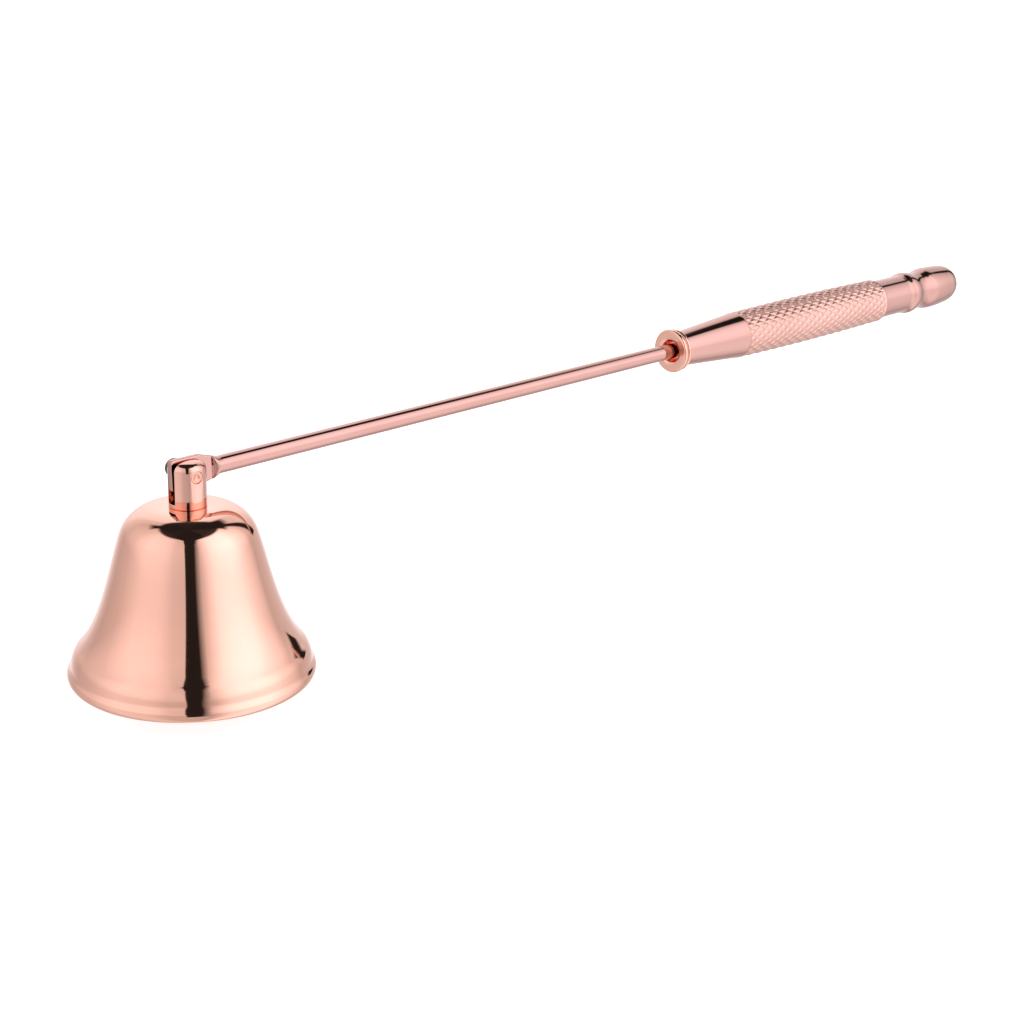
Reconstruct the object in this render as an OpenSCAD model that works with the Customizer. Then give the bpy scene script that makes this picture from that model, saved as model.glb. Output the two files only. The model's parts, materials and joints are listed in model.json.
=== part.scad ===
// Candle snuffer with a swinging bell, a slim rod and a turned handle, held
// level in the hand with the bell hanging. Millimetres. The origin is the
// middle of the grip, on the handle's axis, +X runs from the bell to the end of
// the handle, +Z is up along the bell's axis, and the pivot rivet lies along Y.
// The modules are drawn with the centre of the rim's plane at zero and then
// moved to the grip.

/* [Bell] */
// Height of the bell from its rim plane to the flat of its crown
bell_h = 29.5; // [24:0.1:40]
// Outside diameter of the rolled rim
rim_d = 40.8; // [36:0.1:52]
// Thickness of the spun sheet
sheet_t = 0.6; // [0.4:0.05:0.8]
// Outside diameter of the rim's roll
roll_d = 2.7; // [2.2:0.05:3.4]
// How far the roll stands out past the wall above it
roll_proud = 0.63; // [0.3:0.01:0.9]
// Diameter of the flat in the middle of the crown
crown_flat_d = 9.72; // [8.4:0.02:12]
// Radius of the crown's shoulder
shoulder_r = 6.65; // [4:0.05:8]
// Radius of the lip where the flare turns down to the roll
lip_r = 4.75; // [2.5:0.05:6]

/* [Fork post] */
// Diameter of the post
post_d = 6.2; // [5.4:0.1:8]
// Radius of the post's crowned top
crown_r = 7; // [5:0.1:12]
// Radius of the edge round that top
crown_edge_r = 0.9; // [0.4:0.05:1.2]
// Height of the crowned top above the pivot
crown_h = 2.45; // [2:0.05:3.5]
// Width of the slot that the rod's flat end turns in
slot_w = 1.9; // [1.3:0.05:2.3]
// Thickness of the post left under the slot
slot_floor = 0.76; // [0.5:0.02:1.5]
// Gap between the slot's floor and the corners of the flat as they swing past
swing_gap = 0.637; // [0.3:0.001:4]
// Diameter of the threaded stud under the post
stud_d = 3; // [2.5:0.5:4]

/* [Crown fastening] */
// Thickness of the flat washer
washer_t = 0.5; // [0.3:0.05:1]
// Thickness of the split spring washer
spring_washer_t = 0.8; // [0.5:0.05:1.2]
// Width of the hexagon nut across its flats
nut_af = 5.5; // [5:0.1:8]
// Height of the hexagon nut
nut_h = 2.4; // [1.6:0.1:3.5]

/* [Pivot rivet] */
// Diameter of the rivet's shank
rivet_d = 2.1; // [1.6:0.05:2.5]
// Diameter of the rivet's head
rivet_head_d = 3.2; // [2.8:0.05:4]
// Height of the rivet's head
rivet_head_h = 2; // [1.2:0.05:2.5]

/* [Rod] */
// Diameter of the rod
rod_d = 3; // [2.5:0.05:3.4]
// Length of the rod from the pivot to the front of the handle
rod_len = 112.1; // [70:0.1:180]
// Width of the flat end with the eye
eye_w = 5.3; // [4.4:0.05:6.2]
// Length of the flat end from the pivot to its squared tip
eye_end = 3; // [2:0.05:3.6]
// Thickness of the flat end
eye_t = 1.1; // [0.8:0.05:1.3]
// Gap between the post and the shoulder where the rod becomes round
shoulder_gap = 2.2; // [1.5:0.05:5]
// Angle that the rod rises above the rim plane
rod_rise = 2; // [0:0.5:8]
// Length of the rod inside the handle
rod_tail = 24; // [12:0.5:40]

/* [Handle] */
// Diameter of the collar at the front of the handle
collar_d = 8.66; // [8:0.02:11]
// Diameter of the recess around the rod in the collar
recess_d = 4.2; // [4:0.05:5.2]
// Depth of that recess
recess_depth = 1.9; // [1:0.1:6]
// Diameter of the handle where the cone starts
cone_d = 6.85; // [6.4:0.05:8]
// Length of the handle from its front to the knurled grip
grip_start = 18.9; // [12:0.1:30]
// Length of the knurled grip
grip_len = 45; // [25:0.5:70]
// Diameter of the grip at its front end
grip_front_d = 9.4; // [8.6:0.05:12]
// Diameter of the grip in its middle
grip_mid_d = 9.8; // [9:0.05:13]
// Diameter of the grip at its back end
grip_back_d = 9.3; // [8.4:0.05:12]
// Diameter of the smooth neck behind the grip
neck_d = 8.35; // [7.6:0.05:11]
// Length from the back of the grip to the waist before the knob
neck_len = 14.7; // [10:0.1:25]
// Diameter of the waist before the knob
waist_d = 7.9; // [6.6:0.05:9]
// Diameter of the knob at the end of the handle
knob_d = 9.1; // [8:0.05:12]
// Length of the knob behind the waist
knob_len = 14; // [10:0.1:22]

/* [Clearances] */
// Radial running clearance of the eye on the rivet
eye_fit = 0.05; // [0.02:0.01:0.1]
// Gap between the eye and the cheek that it lies against
cheek_gap = 0.1; // [0.05:0.01:0.2]
// Radial clearance of the stud in the crown and the washers
stud_fit = 0.1; // [0.05:0.01:0.25]
// Radial clearance that stands for each screw thread and for the rivet in its cheeks
thread_fit = 0.02; // [0.01:0.01:0.05]

/* [Hidden] */
$fn = 96;
eps = 0.01;
curve_n = 16;

rim_r = rim_d / 2;
roll_r = roll_d / 2;
rest_cut = 0.04;
roll_z = roll_r - rest_cut;
wall_r = rim_r - roll_proud;
lip_lean = 42;
shoulder_lean = 20;
lip_z = roll_z + sqrt(roll_r * roll_r - (roll_r - roll_proud) * (roll_r - roll_proud));
roll_slit = 0.25;
crown_flat_r = crown_flat_d / 2;

eye_r = eye_w / 2;
pivot_h = slot_floor + swing_gap + norm([eye_end, eye_r]);
pivot_z = bell_h + pivot_h;
post_r = post_d / 2;
crown_c = [0, pivot_z + crown_h - crown_r];
crown_reach = crown_r - crown_edge_r;
crown_edge_x = post_r - crown_edge_r;
crown_edge_c = crown_c + [crown_edge_x, sqrt(crown_reach * crown_reach - crown_edge_x * crown_edge_x)];
crown_turn = acos(crown_edge_x / crown_reach);
stud_r = stud_d / 2;
stud_hole_r = stud_r + stud_fit;

rivet_r = rivet_d / 2;
rivet_head_r = rivet_head_d / 2;
head_round = 0.7;
head_crown = 0.12;
seat_fit = 0.05;
seat_depth = 0.05;
seat_r = rivet_head_r + seat_fit;
seat_y = sqrt(post_r * post_r - seat_r * seat_r) - seat_depth;
tail_y = -sqrt(post_r * post_r - rivet_r * rivet_r);
tail_ring = 0.4;
dimple_r = rivet_r - tail_ring;
dimple_depth = 0.3;

rod_r = rod_d / 2;
eye_bore_r = rivet_r + eye_fit;
eye_y = slot_w / 2 - cheek_gap - eye_t / 2;
eye_len = post_r + shoulder_gap;
taper_len = 2.8;
flat_len = eye_len - taper_len;
nose_len = 1;
nose_start = eye_len - 0.75 * nose_len;

washer_band = 2;
washer_r = stud_r + washer_band;
washer_hole_r = stud_r + stud_fit;
spring_band = 1.5;
spring_washer_r = stud_r + spring_band;
spring_gap = 0.6;
fastening_z = bell_h - sheet_t;
spring_z = fastening_z - washer_t;
nut_z = spring_z - spring_washer_t;
nut_bevel = 0.35;
stud_tip = 0.9;
stud_end_z = nut_z - nut_h - stud_tip;

collar_r = collar_d / 2;
collar_t = 0.95;
collar_round = 0.4;
ring_gap = 0.2;
ring_t = 1.1;
ring_step = 0.17;
ring_round = 0.5;
ring_r = collar_r - ring_step;
ring_root_r = ring_r - ring_round;
crease = 0.15;
cone_r = cone_d / 2;
cone_gap = 0.1;
cone_start = collar_t + ring_gap + ring_t + cone_gap;
cone_edge = 0.5;
recess_r = recess_d / 2;
recess_round = 0.8;
recess_boss = 0.6;
recess_land = 0.12;
bore_r = rod_r + thread_fit;
grip_front_r = grip_front_d / 2;
grip_mid_r = grip_mid_d / 2;
grip_back_r = grip_back_d / 2;
grip_edge = 0.45;
grip_lip = 0.12;
front_belly = 1.45;
back_belly = 1.2;
grip_end = grip_start + grip_len;
neck_r = neck_d / 2;
neck_waist = 0.06;
waist_s = grip_end + neck_len;
waist_r = waist_d / 2;
bead_step = 0.38;
bead_r = neck_r + bead_step;
bead_fall = 3.3;
bead_at = waist_s - bead_fall;
bead_lip = 1.6;
bead_s = bead_at - bead_lip;
knob_r = knob_d / 2;
knob_rise = 4.4;
knob_at = waist_s + knob_rise;
knob_step = 0.28;
knob_step_r = knob_r - knob_step;
curve_pull = 0.45;
handle_len = waist_s + knob_len;
dome_len = 5;
knob_front = knob_len - dome_len;
knob_step_s = waist_s + knob_front;
knob_swell = 0.1;
end_share = 0.72;
end_r = knob_step_r * end_share;

grip_mid = rod_len + grip_start + grip_len / 2;
grip_at = [grip_mid * cos(rod_rise), eye_y, pivot_z + grip_mid * sin(rod_rise)];

// Moves the bell's frame to the grip's
module from_grip() {
    translate(-grip_at)
        children();
}

// Places a piece that is drawn along the rod, with the pivot at zero
module on_rod() {
    from_grip()
        translate([0, 0, pivot_z])
            rotate([0, -rod_rise, 0])
                translate([0, eye_y, 0])
                    children();
}

// Points on an arc about c from angle a0 to angle a1
function arc(c, r, a0, a1) = [for (i = [0:curve_n]) let (a = a0 + (a1 - a0) * i / curve_n)
    [c.x + r * cos(a), c.y + r * sin(a)]];

// Points on a cubic curve from p0 to p3, pulled towards p1 and p2
function cubic(p0, p1, p2, p3) = [for (i = [0:curve_n]) let (t = i / curve_n, u = 1 - t)
    u * u * u * p0 + 3 * u * u * t * p1 + 3 * u * t * t * p2 + t * t * t * p3];

// Points on a curve from p0 to p1 that is level along the handle at both ends
function swell(p0, p1) = let (pull = [(p1.x - p0.x) * curve_pull, 0]) cubic(p0, p0 + pull, p1 - pull, p1);

// Direction of a line that leans out from straight down
function down(lean) = [sin(lean), -cos(lean)];

// The same open line moved sideways by d, to the right of its direction
function aside(p, d) = [for (i = [0:len(p) - 1]) let (
    a = p[max(i - 1, 0)], b = p[min(i + 1, len(p) - 1)], v = (b - a) / norm(b - a))
    p[i] + d * [v.y, -v.x]];

function reversed(p) = [for (i = [len(p) - 1:-1:0]) p[i]];

// Bell's outer face from the edge of the crown's flat to the roll
shoulder = arc([crown_flat_r, bell_h - shoulder_r], shoulder_r, 90, shoulder_lean);
lip = arc([wall_r - lip_r, lip_z], lip_r, lip_lean, 0);
flare_start = shoulder[curve_n];
flare_end = lip[0];
flare_span = norm(flare_end - flare_start);
flare_top_pull = 0.24;
flare_lip_pull = 0.3;
flare = cubic(flare_start, flare_start + flare_top_pull * flare_span * down(shoulder_lean),
    flare_end - flare_lip_pull * flare_span * down(lip_lean), flare_end);
flare_inner = [for (i = [1:curve_n - 1]) flare[i]];
bell_outer = concat([[stud_hole_r, bell_h]], shoulder, flare_inner, lip);
bell_inner = concat([[stud_hole_r, bell_h - sheet_t]], aside(concat(shoulder, flare_inner, lip), sheet_t));

// Section of the roll: round outside, hollow inside, flat where it rests, open at its edge. The hollow
// is drawn as two arcs, so that it is as smooth as the outside.
roll_c = [rim_r - roll_r, roll_z];
hollow_r = roll_r - sheet_t;
wall_in = wall_r - sheet_t - roll_c.x;
edge_in = wall_in - roll_slit;
rest_a = acos(roll_z / roll_r);
roll_line = concat(
    arc(roll_c, roll_r, acos((wall_r - roll_c.x) / roll_r), rest_a - 90),
    arc(roll_c, roll_r, -rest_a - 90, acos(edge_in / roll_r) - 360),
    arc(roll_c, hollow_r, acos(edge_in / hollow_r) - 360, -180),
    arc(roll_c, hollow_r, -170, acos(wall_in / hollow_r)));

// Spun bell with its rim rolled inwards
module bell() {
    color("#e0a090")
    from_grip()
        rotate_extrude()
            polygon(concat(bell_outer, roll_line, reversed(bell_inner)));
}

// Post with a crowned top, a slot across it for the eye, and a stud under it
module fork_post() {
    color("#dd9c8c")
    from_grip()
        difference() {
            union() {
                rotate_extrude()
                    polygon(concat([[0, bell_h], [post_r, bell_h]],
                        arc(crown_edge_c, crown_edge_r, 0, crown_turn), arc(crown_c, crown_r, crown_turn, 90)));
                translate([0, 0, stud_end_z])
                    cylinder(h = bell_h - stud_end_z + eps, r = stud_r);
            }
            translate([-post_d, -slot_w / 2, bell_h + slot_floor])
                cube([2 * post_d, slot_w, pivot_h + crown_h]);
            translate([0, 0, pivot_z])
                rotate([90, 0, 0])
                    cylinder(h = 2 * post_d, r = rivet_r + thread_fit, center = true);
            translate([0, seat_y, pivot_z])
                rotate([-90, 0, 0])
                    cylinder(h = post_d, r = seat_r);
        }
}

module flat_washer() {
    color("#c9cbcd")
    from_grip()
        translate([0, 0, spring_z])
            difference() {
                cylinder(h = washer_t, r = washer_r);
                translate([0, 0, -washer_t])
                    cylinder(h = 3 * washer_t, r = washer_hole_r);
            }
}

// Spring washer, split on its +X side
module spring_washer() {
    color("#b9bbbe")
    from_grip()
        translate([0, 0, nut_z])
            difference() {
                cylinder(h = spring_washer_t, r = spring_washer_r);
                translate([0, 0, -spring_washer_t])
                    cylinder(h = 3 * spring_washer_t, r = washer_hole_r);
                translate([0, -spring_gap / 2, -spring_washer_t])
                    cube([2 * spring_washer_r, spring_gap, 3 * spring_washer_t]);
            }
}

// Hexagon nut with its corners bevelled on both faces
module hex_nut() {
    corner_r = nut_af / 2 / cos(30);
    color("#c3c5c8")
    from_grip()
        translate([0, 0, nut_z - nut_h])
            difference() {
                intersection() {
                    cylinder(h = nut_h, r = corner_r, $fn = 6);
                    cylinder(h = nut_h, r1 = corner_r - nut_bevel, r2 = corner_r - nut_bevel + nut_h);
                    cylinder(h = nut_h, r1 = corner_r - nut_bevel + nut_h, r2 = corner_r - nut_bevel);
                }
                translate([0, 0, -nut_h])
                    cylinder(h = 3 * nut_h, r = stud_r + thread_fit);
            }
}

// Rivet across the fork, head on the +Y side and dimpled tail on the -Y side
module pivot_rivet() {
    head_edge = arc([rivet_head_r - head_round, seat_y + rivet_head_h - head_round], head_round, 0, 80);
    color("#8d5b4e")
    from_grip()
        translate([0, 0, pivot_z])
            rotate([-90, 0, 0])
                rotate_extrude()
                    polygon(concat([[0, tail_y + dimple_depth], [dimple_r, tail_y], [rivet_r, tail_y],
                        [rivet_r, seat_y], [rivet_head_r, seat_y]],
                        head_edge, [[0, seat_y + rivet_head_h + head_crown]]));
}

// Rounded nose of the rod where it grows out of the flat, as radius and distance
rod_nose = [for (i = [1:curve_n]) let (a = 90 * i / curve_n)
    [rod_r * sin(a), nose_start + nose_len * (1 - cos(a))]];

// Rod with its front end forged flat round the eye, and its tail in the handle
module rod() {
    color("#e3a798")
    on_rod()
        difference() {
            union() {
                rotate([90, 0, 0])
                    linear_extrude(height = eye_t, center = true)
                        polygon([[-eye_end, -eye_r], [flat_len, -eye_r], [eye_len, -rod_r],
                            [eye_len + rod_r, -rod_r], [eye_len + rod_r, rod_r],
                            [eye_len, rod_r], [flat_len, eye_r], [-eye_end, eye_r]]);
                rotate([0, 90, 0])
                    rotate_extrude()
                        polygon(concat([[0, rod_len + rod_tail], [0, nose_start]],
                            rod_nose, [[rod_r, rod_len + rod_tail]]));
            }
            rotate([90, 0, 0])
                cylinder(h = 4 * eye_t, r = eye_bore_r, center = true);
        }
}

// Outline of the handle, as distance from its front and radius
collar_line = concat(
    arc([collar_round, collar_r - collar_round], collar_round, 180, 90),
    arc([collar_t - collar_round, collar_r - collar_round], collar_round, 90, 0),
    [[collar_t, ring_root_r + crease], [collar_t + ring_gap, ring_root_r]],
    arc([collar_t + ring_gap + ring_t / 2, ring_root_r], ring_round, 170, 20),
    [[cone_start, cone_r - crease / 3], [cone_start + cone_edge, cone_r]]);
grip_line = cubic([grip_start, grip_front_r],
    [grip_start + grip_len / 3, grip_front_r + (grip_mid_r - grip_front_r) * front_belly],
    [grip_end - grip_len / 3, grip_back_r + (grip_mid_r - grip_back_r) * back_belly],
    [grip_end, grip_back_r]);
neck_line = concat(
    cubic([grip_end + grip_edge, neck_r], [grip_end + neck_len / 4, neck_r - neck_waist],
        [grip_end + neck_len / 2, neck_r - neck_waist], [bead_s - crease, neck_r - neck_waist]),
    swell([bead_s, neck_r], [bead_at, bead_r]));
knob_line = concat(
    swell([bead_at + crease, bead_r], [waist_s, waist_r]),
    swell([waist_s + crease, waist_r], [knob_at, knob_r]),
    cubic([knob_at + crease, knob_r], [knob_at + knob_front / 4, knob_r],
        [knob_step_s - knob_front / 8, knob_step_r + crease], [knob_step_s, knob_step_r + crease / 3]),
    cubic([knob_step_s + knob_step, knob_step_r], [handle_len - dome_len * 0.4, knob_step_r - knob_swell],
        [handle_len, end_r], [handle_len, 0]));
recess_line = concat(
    [[rod_tail, 0], [rod_tail, bore_r], [recess_depth - recess_boss, bore_r],
        [recess_depth - recess_boss, bore_r + recess_land], [recess_depth, recess_r - crease]],
    arc([recess_round, recess_r + recess_round], recess_round, 270, 180));

// Turned handle with a collar, a cone, the barrel of the grip, a neck and a knob
module handle() {
    color("#e2a292")
    on_rod()
        translate([rod_len, 0, 0])
            rotate([0, 90, 0])
                rotate_extrude()
                    polygon([for (p = concat(collar_line, [[grip_start - grip_edge, grip_front_r - grip_lip]],
                        grip_line, neck_line, knob_line, recess_line)) [p.y, p.x]]);
}

bell();
fork_post();
flat_washer();
spring_washer();
hex_nut();
pivot_rivet();
rod();
handle();
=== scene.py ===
"""Looks of a candle snuffer: polished rose-gold bell on a slim rod with a knurled handle."""
import json
import math

import bpy
from mathutils import Matrix, Vector


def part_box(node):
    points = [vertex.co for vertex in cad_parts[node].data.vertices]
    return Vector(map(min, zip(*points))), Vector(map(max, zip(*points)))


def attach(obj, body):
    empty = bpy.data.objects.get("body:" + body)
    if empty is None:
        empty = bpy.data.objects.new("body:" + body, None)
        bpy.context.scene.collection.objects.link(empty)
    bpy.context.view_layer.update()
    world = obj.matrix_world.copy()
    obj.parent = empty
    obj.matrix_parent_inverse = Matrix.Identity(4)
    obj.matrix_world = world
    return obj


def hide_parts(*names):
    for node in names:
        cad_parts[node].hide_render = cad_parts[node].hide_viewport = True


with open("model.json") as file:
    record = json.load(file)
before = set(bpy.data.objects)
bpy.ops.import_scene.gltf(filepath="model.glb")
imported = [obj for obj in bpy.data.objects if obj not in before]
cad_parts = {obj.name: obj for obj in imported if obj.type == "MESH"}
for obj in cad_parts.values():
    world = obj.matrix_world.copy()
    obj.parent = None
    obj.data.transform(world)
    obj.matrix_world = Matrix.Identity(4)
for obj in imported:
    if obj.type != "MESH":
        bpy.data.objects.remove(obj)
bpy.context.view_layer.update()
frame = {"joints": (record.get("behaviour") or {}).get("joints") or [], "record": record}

MM = 0.001

# Sizes in millimetres and angles in degrees, as in the CAD model but for the post's rounder crown
# Bell
RIM_R, SHEET, ROLL_R, ROLL_PROUD, REST_CUT, ROLL_SLIT = 20.4, 0.6, 1.35, 0.63, 0.04, 0.25
BELL_H, CROWN_FLAT_R, SHOULDER_R, SHOULDER_LEAN = 29.5, 4.86, 6.65, 20
LIP_R, LIP_LEAN, FILLET_LEAN, FILLET_TURN, FILLET_PULL = 4.75, 42, 7, 36, 0.33
FLARE_PULL_HIGH, FLARE_PULL_LOW = 0.24, 0.3
# Fork post and its stud
POST_R, POST_FOOT, POST_EDGE, PIVOT_H = 3.1, 0.12, 0.1, 5.4
CROWN_R, CROWN_EDGE, CROWN_H, SLOT_W, SLOT_FLOOR = 7.0, 1.5, 2.45, 1.9, 0.76
STUD_R, STUD_END, STUD_HOLE_R, POST_SIDES = 1.5, 0.9, 1.6, 64
THREAD_PITCH, THREAD_DEPTH, THREAD_END, THREAD_STEP = 0.5, 0.3, 0.15, 0.05
# In pitches, how long the thread takes to reach full depth, and half the width of its groove. The
# stud's tip is turned down by THREAD_POINT depths.
THREAD_FADE, THREAD_GROOVE, THREAD_POINT = 0.8, 0.38, 1.1
# Washers and nut: WASHER_EDGE is a share of the thickness, and NUT_BEVEL_H a share of NUT_BEVEL
WASHER_T, WASHER_R, WASHER_EDGE, SPRING_T, SPRING_R, SPRING_SPLIT = 0.5, 3.5, 0.12, 0.8, 3.0, 0.6
NUT_H, NUT_AF, NUT_BEVEL, NUT_BEVEL_H, NUT_BEVEL_SLOPE, NUT_MOUTH = 2.4, 5.5, 0.35, 1.2, 1.05, 0.18
# Rivet
RIVET_R, HEAD_R, HEAD_H, HEAD_ROUND, HEAD_CROWN = 1.05, 1.6, 2.0, 0.7, 0.12
HEAD_ARC, HEAD_TOP_R, HEAD_TOP_RISE, SEAT_FIT = 80, 0.4, 0.8, 0.05
HEAD_MARGIN = 0.01
DISH_DEPTH, DISH_SHARE, DISH_ROUND, TAIL_ROUND, TAIL_LEN = 0.3, 0.62, 0.25, 0.12, 0.6
# Rod: at FLAT_POWER its section is nearly a rectangle, at ROUND_POWER a circle
ROD_R, ROD_LEN, ROD_TAIL, ROD_TAIL_EDGE = 1.5, 112.1, 24.0, 0.3
EYE_R, EYE_END, EYE_T, EYE_CORNER, EYE_THIN, EYE_EDGE = 2.65, 3.0, 1.1, 0.45, 0.12, 0.07
FLAT_LEN, FLAT_POWER, ROUND_POWER = 2.5, 7, 2
SWELL_START, TAPER_END, TAPER_WAVE, ROD_POINTS = 4.55, 5.9, 0.35, 96
ROUND_ROWS_AT = (6.9, 30, 60, 90)
CHEEK_GAP, EYE_FIT = 0.1, 0.05
# Handle, from its front to its back
COLLAR_R, COLLAR_T, COLLAR_ROUND = 4.33, 0.95, 0.4
RECESS_R, RECESS_DEPTH, RECESS_ROUND, RECESS_BOSS, RECESS_LAND = 2.1, 1.9, 0.8, 0.6, 0.12
RING_T, RING_GAP, RING_STEP, RING_ROUND, CREASE = 1.1, 0.2, 0.17, 0.5, 0.15
CONE_R, CONE_GAP, CONE_EDGE = 3.425, 0.1, 0.5
GRIP_START, GRIP_LEN, GRIP_EDGE, GRIP_LIP = 18.9, 45.0, 0.45, 0.12
GRIP_FRONT_R, GRIP_MID_R, GRIP_BACK_R, GRIP_FRONT_PULL, GRIP_BACK_PULL = 4.7, 4.9, 4.65, 1.45, 1.2
GRIP_STEP, GRIP_STEP_LEN = 0.15, 0.1
KNURL_STARTS, KNURL_ANGLE, KNURL_DEPTH, KNURL_POWER, KNURL_FADE = 20, 30, 0.2, 1.7, 0.7
KNURL_ROWS_APART, KNURL_POINTS, KNURL_MARGIN = 0.125, 14, 0.1
NECK_R, NECK_LEN, NECK_WAIST, WAIST_R = 4.175, 14.7, 0.06, 3.95
BEAD_STEP, BEAD_FALL, BEAD_LIP = 0.38, 3.3, 1.6
KNOB_R, KNOB_LEN, KNOB_RISE, KNOB_SWELL, KNOB_STEP = 4.55, 14.0, 4.4, 0.1, 0.28
DOME_LEN, DOME_PULL, END_SHARE, CURVE_PULL = 5.0, 0.4, 0.72, 0.45
# The gap between two pieces that sit tight, and a reach that is outside any piece, for cutting
FIT, OUTSIDE = 0.02, 9.0

# Heights and radii that several pieces use
UNDER_CROWN = BELL_H - SHEET
SPRING_TOP = UNDER_CROWN - WASHER_T
NUT_TOP = SPRING_TOP - SPRING_T
SEAT_R = HEAD_R + SEAT_FIT
SEAT_Y = math.sqrt(POST_R ** 2 - SEAT_R ** 2) - SEAT_FIT
CONE_START = COLLAR_T + RING_GAP + RING_T + CONE_GAP

# Places, from the frame: the rim's centre, the pivot and the handle's axis
bell_lo, bell_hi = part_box("bell")
RIM = Vector(((bell_lo.x + bell_hi.x) / 2, (bell_lo.y + bell_hi.y) / 2, bell_lo.z))
PIVOT = Vector(frame["joints"][0]["pos_m"])
MOUNTS = {m["name"]: m for m in frame["record"]["mounts"]}
AXIS = Vector(MOUNTS["hand_grip"]["axis"])
EYE_Y = (SLOT_W / 2 - CHEEK_GAP - EYE_T / 2) * MM
ROD_START = PIVOT + Vector((0, EYE_Y, 0))

# Where a piece's own Z lies: up the bell, along the rod, or along the rivet
SIDEWAYS = Matrix.Rotation(math.radians(-90), 4, "X")
UP = Matrix.Translation(RIM)
ALONG_ROD = Matrix.Translation(ROD_START) @ AXIS.to_track_quat("Z", "Y").to_matrix().to_4x4()
ACROSS_POST = Matrix.Translation(Vector((RIM.x, RIM.y, PIVOT.z))) @ SIDEWAYS
ACROSS_EYE = Matrix.Translation(ROD_START) @ SIDEWAYS


# ---------------------------------------------------------------- outlines

def arc(cx, cy, r, a0, a1, n=24):
    """Points on an arc about (cx, cy), from angle a0 to a1 in degrees."""
    angles = [math.radians(a0 + (a1 - a0) * i / n) for i in range(n + 1)]
    return [(cx + r * math.cos(a), cy + r * math.sin(a)) for a in angles]


def cubic(p0, p1, p2, p3, n=24):
    """Points on a cubic curve from p0 to p3, pulled towards p1 and p2."""
    points = []
    for i in range(n + 1):
        t = i / n
        u = 1 - t
        points.append(tuple(u ** 3 * a + 3 * u * u * t * b + 3 * u * t * t * c + t ** 3 * d
                            for a, b, c, d in zip(p0, p1, p2, p3)))
    return points


def swell(p0, p1):
    """Points on a curve that is level along the handle at both ends."""
    pull = (p1[0] - p0[0]) * CURVE_PULL
    return cubic(p0, (p0[0] + pull, p0[1]), (p1[0] - pull, p1[1]), p1)


def aside(points, d):
    """The open line moved sideways by d, to the right of its direction."""
    moved = []
    for i, p in enumerate(points):
        a, b = points[max(i - 1, 0)], points[min(i + 1, len(points) - 1)]
        vx, vy = b[0] - a[0], b[1] - a[1]
        length = math.hypot(vx, vy)
        moved.append((p[0] + d * vy / length, p[1] - d * vx / length))
    return moved


# How much of a side one rounded corner may take
SIDE_SHARE = 0.49


def rounded(points, radii, n=6):
    """An open line with its inner corners rounded by quadratic curves of about the given radii."""
    line = [points[0]]
    for i in range(1, len(points) - 1):
        r = radii[i]
        p = Vector(points[i])
        before, after = Vector(points[i - 1]) - p, Vector(points[i + 1]) - p
        if r <= 0:
            line.append(tuple(p))
            continue
        a = p + before.normalized() * min(r, before.length * SIDE_SHARE)
        b = p + after.normalized() * min(r, after.length * SIDE_SHARE)
        for k in range(n + 1):
            t = k / n
            line.append(tuple((1 - t) ** 2 * a + 2 * t * (1 - t) * p + t * t * b))
    line.append(points[-1])
    return line


# ---------------------------------------------------------------- meshes

ON_AXIS = 1e-6


def piece(name, verts, faces, place, body, node, sharp):
    """A mesh object from points in millimetres, riding on its body in place of a CAD node."""
    mesh = bpy.data.meshes.new(name)
    mesh.from_pydata([tuple(place @ (Vector(v) * MM)) for v in verts], [], faces)
    mesh.validate()
    mesh.shade_smooth()
    mesh.set_sharp_from_angle(angle=math.radians(sharp))
    obj = bpy.data.objects.new(name, mesh)
    bpy.context.scene.collection.objects.link(obj)
    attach(obj, body)
    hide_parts(node)
    return obj


def surface(rows, closed_line=False):
    """Points and faces of a skin over rows of points about an axis.
    A row of one point closes an end."""
    verts, faces, starts = [], [], []
    for row in rows:
        starts.append(len(verts))
        verts.extend(row)
    pairs = list(zip(range(len(rows) - 1), range(1, len(rows))))
    if closed_line:
        pairs.append((len(rows) - 1, 0))
    for a, b in pairs:
        na, nb = len(rows[a]), len(rows[b])
        count = max(na, nb)
        for k in range(count):
            m = (k + 1) % count
            quad = [starts[a] + (k if na > 1 else 0), starts[a] + (m if na > 1 else 0),
                    starts[b] + (m if nb > 1 else 0), starts[b] + (k if nb > 1 else 0)]
            face = [v for i, v in enumerate(quad) if v not in quad[:i]]
            if len(face) > 2:
                faces.append(face)
    return verts, faces


def ring(r, h, n):
    """A row of n points at radius r and height h, or one point on the axis.
    r may be a function of the angle."""
    if not callable(r) and r < ON_AXIS:
        return [(0, 0, h)]
    row = []
    for k in range(n):
        a = 2 * math.pi * k / n
        d = r(a) if callable(r) else r
        row.append((d * math.cos(a), d * math.sin(a), h))
    return row


def lathe(line, n, closed=True):
    """A surface of revolution from (radius, height) points."""
    return surface([ring(r, h, n) for r, h in line], closed)


# ---------------------------------------------------------------- materials

class Nodes:
    """Short calls for building a node tree."""

    def __init__(self, name):
        self.mat = bpy.data.materials.new(name)
        self.mat.use_nodes = True
        self.tree = self.mat.node_tree
        self.bsdf = self.tree.nodes["Principled BSDF"]

    def add(self, kind, **settings):
        node = self.tree.nodes.new(kind)
        for key, value in settings.items():
            if hasattr(node, key):
                setattr(node, key, value)
            else:
                node.inputs[key.replace("_", " ")].default_value = value
        return node

    def link(self, a, b):
        self.tree.links.new(a, b)


# How much the specks add to the roughness, and the depth of the marks and the scratches in metres
SPECK_SHARE, MARKS_DEPTH, SCRATCH_DEPTH = 0.35, 0.00002, 0.00001


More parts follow.
